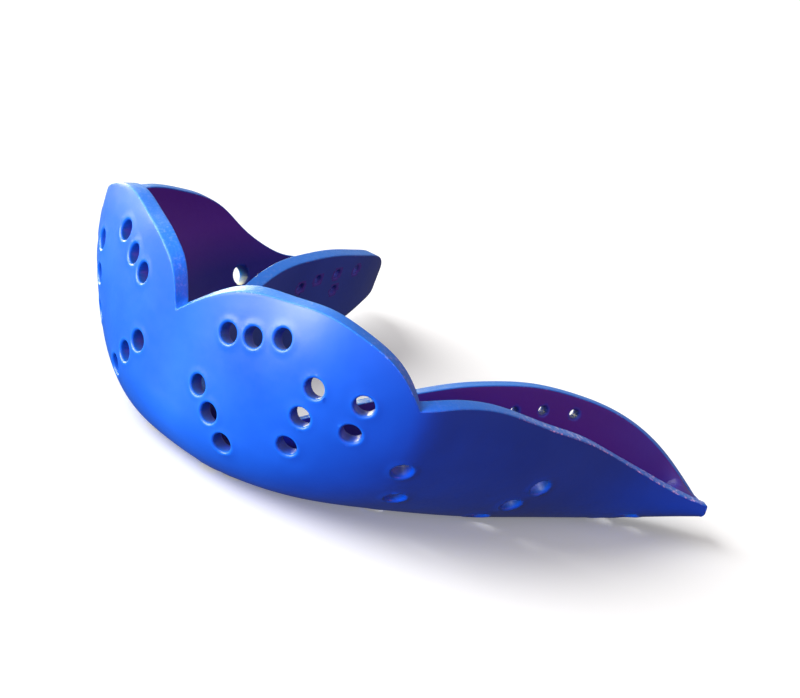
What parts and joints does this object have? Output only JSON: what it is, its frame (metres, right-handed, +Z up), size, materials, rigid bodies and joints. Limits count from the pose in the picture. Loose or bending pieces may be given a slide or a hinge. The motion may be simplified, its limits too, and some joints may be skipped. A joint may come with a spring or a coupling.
{
  "type": "mouthguard",
  "caption": "One-piece U-shaped sports mouthguard moulded from thin perforated sheet, with scalloped outer flange, tooth channel and low tongue-side flange.",
  "frame": {"origin": "centre of the guard's bounding box in plan, on the surface it rests on", "axes": "+Z up from the biting floor along the flanges, -Y towards the wearer's front, +X towards the wearer's left cheek"},
  "size_m": [0.06, 0.0505, 0.022],
  "materials": {
    "guard_plastic": "satin-gloss royal blue moulded thermoplastic, faintly uneven"
  },
  "bodies": {
    "root": {"mouthguard": "guard_plastic"}
  },
  "joints": []
}
